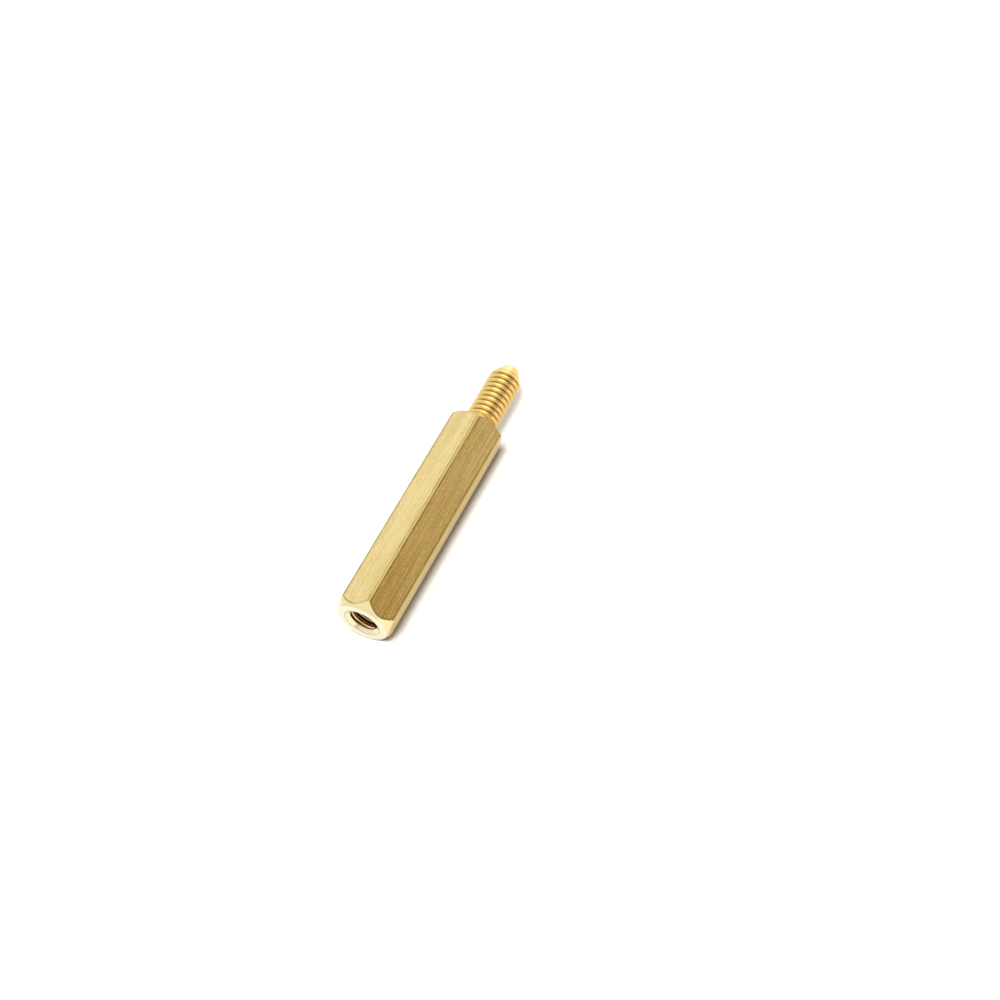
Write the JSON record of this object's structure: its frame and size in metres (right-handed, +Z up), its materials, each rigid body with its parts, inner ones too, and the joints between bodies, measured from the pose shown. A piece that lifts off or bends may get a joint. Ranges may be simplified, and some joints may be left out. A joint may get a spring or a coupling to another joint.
{
  "type": "hex standoff",
  "caption": "Hexagonal brass spacer lying on a flat, with a blind tapped hole in one chamfered end and a threaded stud with a rounded point on the other.",
  "frame": {"origin": "the centre of the bounding box in X and Y, at the level of the surface that the standoff lies on", "axes": "+X along the turning axis from the tapped hole towards the stud, +Y across the flats' corners, +Z up, square to the flat that it lies on"},
  "size_m": [0.024, 0.0046, 0.004],
  "materials": {
    "brass": "bright: flats as drawn with faint lengthwise lines, ends and threads as turned"
  },
  "bodies": {
    "root": {"standoff": "brass"}
  },
  "joints": []
}
